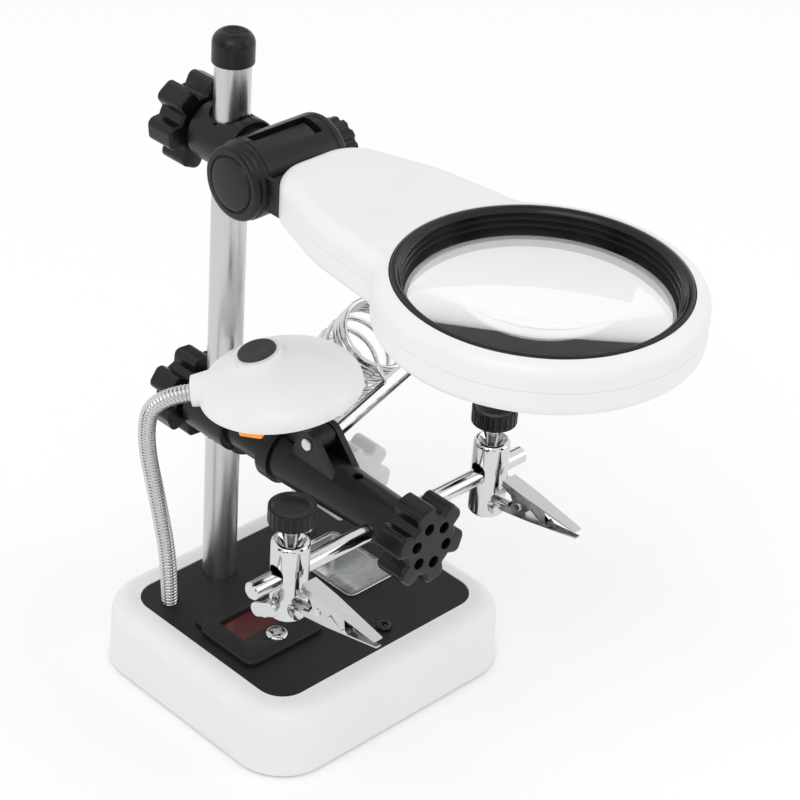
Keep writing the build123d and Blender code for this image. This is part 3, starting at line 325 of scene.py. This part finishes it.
# --- clip carriages ------------------------------------------------------------
# Each carriage is a plated post hooked on the rod, a thumb screw with a fluted black
# head on a plated screw, a ball that carries a spring clip, and a wing screw.
def turned(name, profile, place, material, segments=72):
    """A lathe-turned piece: (radius, height) points spun about the place's own Z axis."""
    shape = bmesh.new()
    points = [shape.verts.new((radius, 0, height)) for radius, height in profile]
    edges = [shape.edges.new(pair) for pair in zip(points, points[1:])]
    bmesh.ops.spin(shape, geom=points + edges, axis=(0, 0, 1), cent=(0, 0, 0), angle=math.tau,
                   steps=segments, use_merge=True)
    bmesh.ops.remove_doubles(shape, verts=shape.verts, dist=weld_gap)
    bmesh.ops.recalc_face_normals(shape, faces=shape.faces)
    bmesh.ops.transform(shape, matrix=place, verts=shape.verts)
    mesh = bpy.data.meshes.new(name)
    shape.to_mesh(mesh)
    shape.free()
    return add_piece(name, mesh, material)


def stand_for(piece, *replaced):
    """Let a new piece ride where its CAD shapes do, and take their place."""
    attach(piece, body_of[replaced[0]])
    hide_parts(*replaced)


head_height = 7.6 * MM
flutes = 22
flute_depth = 0.55 * MM
dish_depth = 1.5 * MM


def fluted_head(name, centre, radius):
    """The thumb screw's head: a fluted rim, a plain crown and a dished top."""
    shape = bmesh.new()
    place = Matrix.Translation(centre + Vector((0, 0, head_height / 2)))
    bmesh.ops.create_cone(shape, cap_ends=True, segments=2 * flutes, radius1=radius, radius2=radius,
                          depth=head_height, matrix=place)
    rim = [face for face in shape.faces if abs(face.normal.z) < 0.5]
    rim.sort(key=lambda face: math.atan2(face.calc_center_median().y - centre.y,
                                         face.calc_center_median().x - centre.x))
    bmesh.ops.inset_individual(shape, faces=rim[::2], thickness=0.5 * MM, depth=-flute_depth)
    top = max((face for face in shape.faces if face.normal.z > 0.9), key=lambda face: face.calc_area())
    for step, drop in ((1.5 * MM, 0.0), (1.0 * MM, 0.55), (2.2 * MM, 0.35), (2.4 * MM, 0.1)):
        bmesh.ops.inset_region(shape, faces=[top], thickness=step)
        bmesh.ops.translate(shape, verts=top.verts, vec=(0, 0, -drop * dish_depth))
    bmesh.ops.recalc_face_normals(shape, faces=shape.faces)
    mesh = bpy.data.meshes.new(name)
    shape.to_mesh(mesh)
    shape.free()
    head = add_piece(name, mesh, knob_black)
    edge = head.modifiers.new("rounded edges", "BEVEL")
    edge.width = 0.28 * MM
    edge.segments = 2
    edge.limit_method = "ANGLE"
    edge.angle_limit = math.radians(24)
    edge.harden_normals = True
    return head


thread_pitch = 0.8 * MM
thread_depth = 0.3 * MM


def threaded(name, centre, radius, length, material):
    """A screw thread, cut as close-set rings, up from a point."""
    profile = [(0.0, 0.0)]
    for turn in range(int(length / thread_pitch)):
        low = turn * thread_pitch
        profile += [(radius - thread_depth, low), (radius, low + 0.3 * thread_pitch),
                    (radius, low + 0.5 * thread_pitch), (radius - thread_depth, low + 0.8 * thread_pitch)]
    profile += [(radius - thread_depth, length), (0.0, length)]
    return turned(name, profile, Matrix.Translation(centre), material, segments=28)


pressed_steel = new_finish("pressed and plated steel", metal_skin, (0.58, 0.585, 0.59), 0.15, 0.000012, METAL,
                           Streaks_per_metre=(220.0, 220.0, 220.0), Streak_spread=0.06)
thumb_screw_radius = 2.5 * MM
thread_overlap = 1.0 * MM
spring_turns = 4
spring_radius = 1.75 * MM
spring_wire = 0.32 * MM
spring_pitch = 2.1 * spring_wire


def clip_spring(side):
    """The torsion spring round a clip's rivet, which closes the jaws."""
    low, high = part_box(f"clip_rivet_{side}")
    centre = (low + high) / 2
    steps = 16 * spring_turns
    curve = bpy.data.curves.new(f"clip_spring_{side}", "CURVE")
    curve.dimensions = "3D"
    curve.bevel_depth = spring_wire
    curve.bevel_resolution = 3
    curve.use_fill_caps = True
    spline = curve.splines.new("POLY")
    spline.points.add(steps)
    for i in range(steps + 1):
        angle = math.tau * spring_turns * i / steps
        across = (i / steps - 0.5) * spring_turns * spring_pitch
        spline.points[i].co = (centre.x + across, centre.y + spring_radius * math.cos(angle),
                               centre.z + spring_radius * math.sin(angle), 1)
    holder = bpy.data.objects.new("coil", curve)
    bpy.context.scene.collection.objects.link(holder)
    bpy.context.view_layer.update()
    mesh = bpy.data.meshes.new_from_object(holder.evaluated_get(bpy.context.evaluated_depsgraph_get()))
    bpy.data.objects.remove(holder)
    spring = add_piece(f"clip_spring_{side}", mesh, bright_plate)
    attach(spring, f"{side}_clip")


for side in ("left", "right"):
    low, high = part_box(f"thumb_screw_{side}")
    middle = (low + high) / 2
    head_radius = (high.x - low.x) / 2
    head_centre = Vector((middle.x, middle.y, high.z - head_height))
    head = fluted_head(f"thumb_head_{side}", head_centre, head_radius)
    stand_for(head, f"thumb_screw_{side}")
    screw = threaded(f"thumb_thread_{side}", Vector((middle.x, middle.y, low.z)), thumb_screw_radius,
                     head_centre.z + thread_overlap - low.z, plated_rod)
    stand_for(screw, f"thumb_screw_{side}")
    softened(f"clip_post_{side}", 0.35 * MM, bright_plate)
    softened(f"wing_screw_{side}", 0.45 * MM, bright_plate)
    dress(bright_plate, f"clip_ball_{side}")
    softened(f"clip_lower_jaw_{side}", 0.16 * MM, pressed_steel, segments=2)
    softened(f"clip_upper_jaw_{side}", 0.16 * MM, pressed_steel, segments=2)
    softened(f"clip_rivet_{side}", 0.2 * MM, bright_plate)
    clip_spring(side)

# --- iron rest -----------------------------------------------------------------
# A plated stem carries a black clamp; one bent wire makes the legs and the coil that
# holds the soldering iron, and a pale knob sets the clamp.
plated_wire = new_finish("plated wire", metal_skin, (0.66, 0.665, 0.67), 0.12, 0.000006, METAL,
                         Streaks_per_metre=(260.0, 260.0, 260.0), Streak_spread=0.05)
pale_knob = new_finish("pale knob plastic", moulded_skin, (0.72, 0.72, 0.71), 0.42, 0.00002, Tone_spread=0.02)
dress(plated_rod, "rest_stem")
softened("rest_clamp", 0.5 * MM, black_abs)
softened("rest_knob", 1.1 * MM, pale_knob)
dress(plated_wire, "iron_coil")

# --- gooseneck -----------------------------------------------------------------
# A flexible conduit of wound steel strip: close ribs all the way from the deck to the
# lamp's neck, bright on the crowns and dull in the grooves.
gooseneck_route = ((-52.0, 36.8, 14.0), (-52.0, 36.8, 52.0), (-58.2, 38.4, 91.0), (-66.6, 39.4, 132.0),
                   (-68.5, 29.8, 158.5), (-53.45, 14.2, 161.9))
gooseneck_radius = 4.0 * MM
rib_pitch = 1.75 * MM
rib_drops = (0.55, 0.12, 0.0, 0.12)


def smooth_route(points):
    """Points along the smooth curve that a list of control points draws."""
    curve = bpy.data.curves.new("route", "CURVE")
    curve.dimensions = "3D"
    curve.resolution_u = 40
    spline = curve.splines.new("NURBS")
    spline.points.add(len(points) - 1)
    for point, place in zip(spline.points, points):
        point.co = (*(MM * v for v in place), 1)
    spline.order_u = 3
    spline.use_endpoint_u = True
    holder = bpy.data.objects.new("route", curve)
    bpy.context.scene.collection.objects.link(holder)
    bpy.context.view_layer.update()
    line = bpy.data.meshes.new_from_object(holder)
    bpy.data.objects.remove(holder)
    return [v.co.copy() for v in line.vertices]


def evenly_spaced(route, step):
    """(place, direction) at even steps along a line."""
    found = []
    travelled = 0.0
    for start, end in zip(route, route[1:]):
        length = (end - start).length
        direction = (end - start).normalized()
        while travelled <= length:
            found.append((start + direction * travelled, direction))
            travelled += step
        travelled -= length
    return found


def ribbed_conduit(name, route, radius, material):
    """Rings bridged one to the next along a route, with a groove once in each pitch."""
    shape = bmesh.new()
    across = Vector((1, 0, 0))
    before = None
    for i, (place, direction) in enumerate(evenly_spaced(route, rib_pitch / len(rib_drops))):
        across = (across - direction * across.dot(direction)).normalized()
        beyond = direction.cross(across)
        turn = Matrix((across, beyond, direction)).transposed().to_4x4()
        ring = bmesh.ops.create_circle(shape, segments=20, matrix=Matrix.Translation(place) @ turn,
                                       radius=radius - rib_drops[i % len(rib_drops)] * MM)["verts"]
        edges = list({edge for vert in ring for edge in vert.link_edges})
        if before:
            bmesh.ops.bridge_loops(shape, edges=before + edges)
        before = edges
    open_edges = [edge for edge in shape.edges if edge.is_boundary]
    bmesh.ops.holes_fill(shape, edges=open_edges)
    bmesh.ops.recalc_face_normals(shape, faces=shape.faces)
    mesh = bpy.data.meshes.new(name)
    shape.to_mesh(mesh)
    shape.free()
    return add_piece(name, mesh, material)


conduit_steel = new_finish("conduit steel", metal_skin, (0.62, 0.625, 0.63), 0.2, 0.000006, METAL,
                           Streaks_per_metre=(500.0, 500.0, 500.0), Streak_spread=0.08)
conduit = ribbed_conduit("gooseneck_ribs", smooth_route(gooseneck_route), gooseneck_radius, conduit_steel)
stand_for(conduit, "gooseneck")

# --- lamp ----------------------------------------------------------------------
# A white moulded bowl with a push button on its crown, a frosted diffuser below and
# one amber night light under its near rim.
soft_grey = new_finish("soft grey button", moulded_skin, (0.04, 0.042, 0.045), 0.6, 0.00002, SATIN)
frosted = new_finish("frosted diffuser", moulded_skin, (0.86, 0.86, 0.83), 0.55, 0.00001,
                     (("Subsurface Weight", 0.3), ("Subsurface Radius", (0.004, 0.004, 0.003)),
                      ("Subsurface Scale", 1.0)))
amber = new_finish("amber lens", moulded_skin, (0.93, 0.3, 0.015), 0.25, 0.00001,
                   (("Emission Color", (1.0, 0.3, 0.02, 1)), ("Emission Strength", 0.35)))
softened("lamp_shell", 0.4 * MM, white_abs)
dress(white_abs, "lamp_base_ring")
dress(frosted, "lamp_diffuser")
dress(amber, "lamp_amber_led")
softened("lamp_button", 0.35 * MM, soft_grey)

# --- upper clamp ---------------------------------------------------------------
# The second boss on the column, with the hinge barrel that the head's fork turns on.
dress(black_abs, "upper_clamp_bush")
softened("upper_clamp_body", 0.8 * MM, black_abs)
softened("upper_clamp_knob", 1.1 * MM, knob_black)

# --- magnifier head --------------------------------------------------------------
# Two white half shells close round a ground lens, a glossy black bezel holds it from
# above, and a black fork joins them to the barrel under a hinge knob.
softened("head_yoke", 0.5 * MM, black_abs)
softened("hinge_knob", 0.7 * MM, knob_black)
dress(white_abs, "head_top_shell", "head_bottom_shell")


cap_largest_radius = 16.6 * MM
cap_setback = 0.4 * MM
cap_root = 0.8 * MM
cap_round = 2.2 * MM
cap_crown = 1.1 * MM
cap_seam_share = 0.74
seam_mouth = 0.5 * MM
seam_floor = 0.2 * MM


def hinge_cap():
    """The domed plug over the barrel's left end: a rounded rim, a seam groove and a shallow crown."""
    cheek_low, cheek_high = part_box("head_yoke")
    hinge = next(joint["pos_m"] for joint in behaviour["joints"] if joint["name"] == "head_tilt")
    rim_radius = min((cheek_high.z - cheek_low.z) / 2 - cap_setback, cap_largest_radius)
    profile = [(rim_radius, -cap_root), (rim_radius, 0.0)]
    for step in range(1, 7):
        angle = math.radians(15 * step)
        profile.append((rim_radius - cap_round * (1 - math.cos(angle)), cap_round * math.sin(angle)))
    seam = rim_radius * cap_seam_share
    profile += [(seam + seam_mouth, cap_round), (seam + seam_floor, cap_round - seam_mouth),
                (seam - seam_floor, cap_round - seam_mouth), (seam - seam_mouth, cap_round)]
    for angle in map(math.radians, range(20, 91, 10)):
        profile.append((seam * math.cos(angle), cap_round + cap_crown * math.sin(angle)))
    outward = Matrix.Rotation(-math.pi / 2, 4, "Y")
    place = Matrix.Translation((cheek_low.x, hinge[1], hinge[2])) @ outward
    return turned("hinge_cap", profile, place, black_abs, segments=96)


cap = hinge_cap()
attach(cap, body_of["head_yoke"])
gloss_black = new_finish("gloss black", moulded_skin, (0.007, 0.007, 0.008), 0.2, 0.000005, SATIN, Dust=0.01)
bezel_wall = 6.5 * MM
bezel_bevel = 2.6 * MM
bezel_round = 1.5 * MM
first_step_drop = 2.2 * MM
bore_step_pitch = 2.6 * MM


def bezel_ring():
    """The screwed-in ring: a rounded crown, an inner bevel and three fine steps down its bore."""
    low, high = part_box("lens_bezel")
    outer = (high.x - low.x) / 2
    height = high.z - low.z
    bore = outer - bezel_wall
    mouth = bore + bezel_bevel
    profile = [(bore, 0.0), (outer, 0.0), (outer, height - bezel_round)]
    for step in range(1, 7):
        angle = math.radians(15 * step)
        profile.append((outer - bezel_round * (1 - math.cos(angle)),
                        height - bezel_round * (1 - math.sin(angle))))
    profile += [(mouth + 1.2 * MM, height - 0.1 * MM), (mouth + 0.3 * MM, height - 0.9 * MM)]
    for step in range(3):
        level = height - first_step_drop - bore_step_pitch * step
        edge = bore + (mouth - bore) * level / height
        profile += [(edge + 0.25 * MM, level + 0.5 * MM), (edge, level + 0.35 * MM), (edge, level - 0.9 * MM)]
    profile.append((bore, 0.0))
    centre = Vector(((low.x + high.x) / 2, (low.y + high.y) / 2, low.z))
    return turned("bezel_ring", profile, Matrix.Translation(centre), gloss_black, segments=144)


stand_for(bezel_ring(), "lens_bezel")
glass_edge = 3.0 * MM


def clear_glass():
    """Polished crown glass: clear and a touch green."""
    return new_finish("crown glass", moulded_skin, (0.97, 0.99, 0.98), 0.0, 0.0,
                      (("Transmission Weight", 1.0), ("IOR", 1.5)), Gloss_spread=0.0, Dust=0.0,
                      Tone_spread=0.0)


def ground_lens():
    """A biconvex glass with a narrow ground edge."""
    low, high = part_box("lens")
    rim = (high.x - low.x) / 2
    crown = (high.z - low.z - glass_edge) / 2
    radius = (rim ** 2 + crown ** 2) / (2 * crown)
    steps = 28
    across = [rim * i / steps for i in range(steps + 1)]
    face = [(r, math.sqrt(radius ** 2 - r ** 2) - (radius - crown)) for r in across]
    profile = [(r, high.z - low.z - crown + z) for r, z in face]
    profile += [(r, crown - z) for r, z in reversed(face)]
    centre = Vector(((low.x + high.x) / 2, (low.y + high.y) / 2, low.z))
    return turned("ground_lens", profile, Matrix.Translation(centre), clear_glass(), segments=144)


stand_for(ground_lens(), "lens")

# --- studio ----------------------------------------------------------------------
# A pale floor under a white surround, a large soft key from the upper left, a fill
# from the right, and dark flags around and above that only reflections show.
scene = bpy.context.scene
scene.view_settings.view_transform = "Standard"


def seen_directly(tree):
    """1 where a ray comes from the camera, a reflection or a refraction."""
    path = add_node(tree, "ShaderNodeLightPath")
    total = maths(tree, "MAXIMUM", path.outputs["Is Camera Ray"], path.outputs["Is Glossy Ray"])
    return maths(tree, "MAXIMUM", total, path.outputs["Is Transmission Ray"])


surround_light = 0.86
floor_glow = 0.13
aim_point = Vector((0, 0, 0.15))
world = bpy.data.worlds.new("studio")
world.use_nodes = True
scene.world = world
world_tree = world.node_tree
backdrop = world_tree.nodes["Background"]
backdrop.inputs["Color"].default_value = (1, 1, 1, 1)
strength = add_node(world_tree, "ShaderNodeMapRange", ((seen_directly(world_tree), "Value"),
                                                       (surround_light, "To Min"), (1.0, "To Max")))
world_tree.links.new(strength.outputs["Result"], backdrop.inputs["Strength"])


def card(name, centre, facing, width, height, material):
    """A flat rectangle of the studio."""
    shape = bmesh.new()
    turn = Vector(facing).to_track_quat("Z", "Y").to_matrix().to_4x4()
    place = Matrix.Translation(centre) @ turn @ Matrix.Diagonal((width, height, 1, 1))
    bmesh.ops.create_grid(shape, x_segments=1, y_segments=1, size=0.5, matrix=place)
    mesh = bpy.data.meshes.new(name)
    shape.to_mesh(mesh)
    shape.free()
    mesh.materials.append(material)
    sheet = bpy.data.objects.new(name, mesh)
    scene.collection.objects.link(sheet)
    return sheet


def floor_paint():
    """Pale matte paint that reads as the surround's white but keeps the object's shadow."""
    material = bpy.data.materials.new("floor paint")
    material.use_nodes = True
    tree = material.node_tree
    tree.nodes.remove(tree.nodes["Principled BSDF"])
    matte = add_node(tree, "ShaderNodeBsdfDiffuse", (((0.9, 0.9, 0.9, 1), "Color"),))
    glow_colour = (floor_glow, floor_glow, floor_glow, 1)
    glow = add_node(tree, "ShaderNodeEmission", ((seen_directly(tree), "Strength"), (glow_colour, "Color")))
    both = add_node(tree, "ShaderNodeAddShader", ((matte.outputs[0], 0), (glow.outputs[0], 1)))
    tree.links.new(both.outputs[0], tree.nodes["Material Output"].inputs["Surface"])
    return material


def flag_cloth():
    """Matte black cloth."""
    material = bpy.data.materials.new("flag cloth")
    material.use_nodes = True
    shader = material.node_tree.nodes["Principled BSDF"]
    shader.inputs["Base Color"].default_value = (0.02, 0.02, 0.02, 1)
    shader.inputs["Roughness"].default_value = 1.0
    return material


card("floor", (0, 0, 0), (0, 0, 1), 8.0, 8.0, floor_paint())
flag = flag_cloth()
for name, centre, width, height in (("flag_left", (-1.1, 0.25, 0.45), 0.4, 1.0),
                                    ("flag_right", (0.35, -1.1, 0.45), 0.35, 1.0),
                                    ("flag_lens_side", (-1.05, -0.62, 0.5), 0.16, 1.1),
                                    ("flag_rear", (0.85, 0.8, 0.72), 0.75, 0.42),
                                    ("flag_front", (-0.34, -0.62, 0.03), 0.3, 0.22),
                                    ("flag_front_left", (-0.72, -0.2, 0.05), 0.22, 0.3),
                                    ("flag_above", (0.25, 0.1, 1.3), 0.5, 0.3)):
    sheet = card(name, centre, aim_point - Vector(centre), width, height, flag)
    for kind in ("camera", "diffuse", "shadow", "transmission"):
        setattr(sheet, f"visible_{kind}", False)


def soft_light(name, place, size, power):
    """A square area light aimed at the object."""
    lamp = bpy.data.lights.new(name, "AREA")
    lamp.size = size
    lamp.energy = power
    holder = bpy.data.objects.new(name, lamp)
    scene.collection.objects.link(holder)
    aim = aim_point - Vector(place)
    holder.matrix_world = Matrix.Translation(place) @ aim.to_track_quat("-Z", "Y").to_matrix().to_4x4()


soft_light("key", (-1.1, -0.5, 1.6), 1.0, 6.5)
soft_light("fill", (1.2, -1.3, 0.9), 1.0, 2.5)

lens_length = 116.75
stand = Vector((-0.6798, -0.7015, 0.7671))
heading, height, roll = (math.radians(angle) for angle in (-46.30, 32.46, 4.06))
away = Vector((math.sin(heading) * math.cos(height), -math.cos(heading) * math.cos(height), math.sin(height)))
level_right = (-away).cross(Vector((0, 0, 1))).normalized()
level_up = level_right.cross(-away)
right = math.cos(roll) * level_right + math.sin(roll) * level_up
up = math.cos(roll) * level_up - math.sin(roll) * level_right
view = bpy.data.objects.new("view", bpy.data.cameras.new("view"))
scene.collection.objects.link(view)
view.data.lens = lens_length
view.data.clip_start = 0.05
view.matrix_world = Matrix.Translation(stand) @ Matrix((right, up, away)).transposed().to_4x4()
scene.camera = view
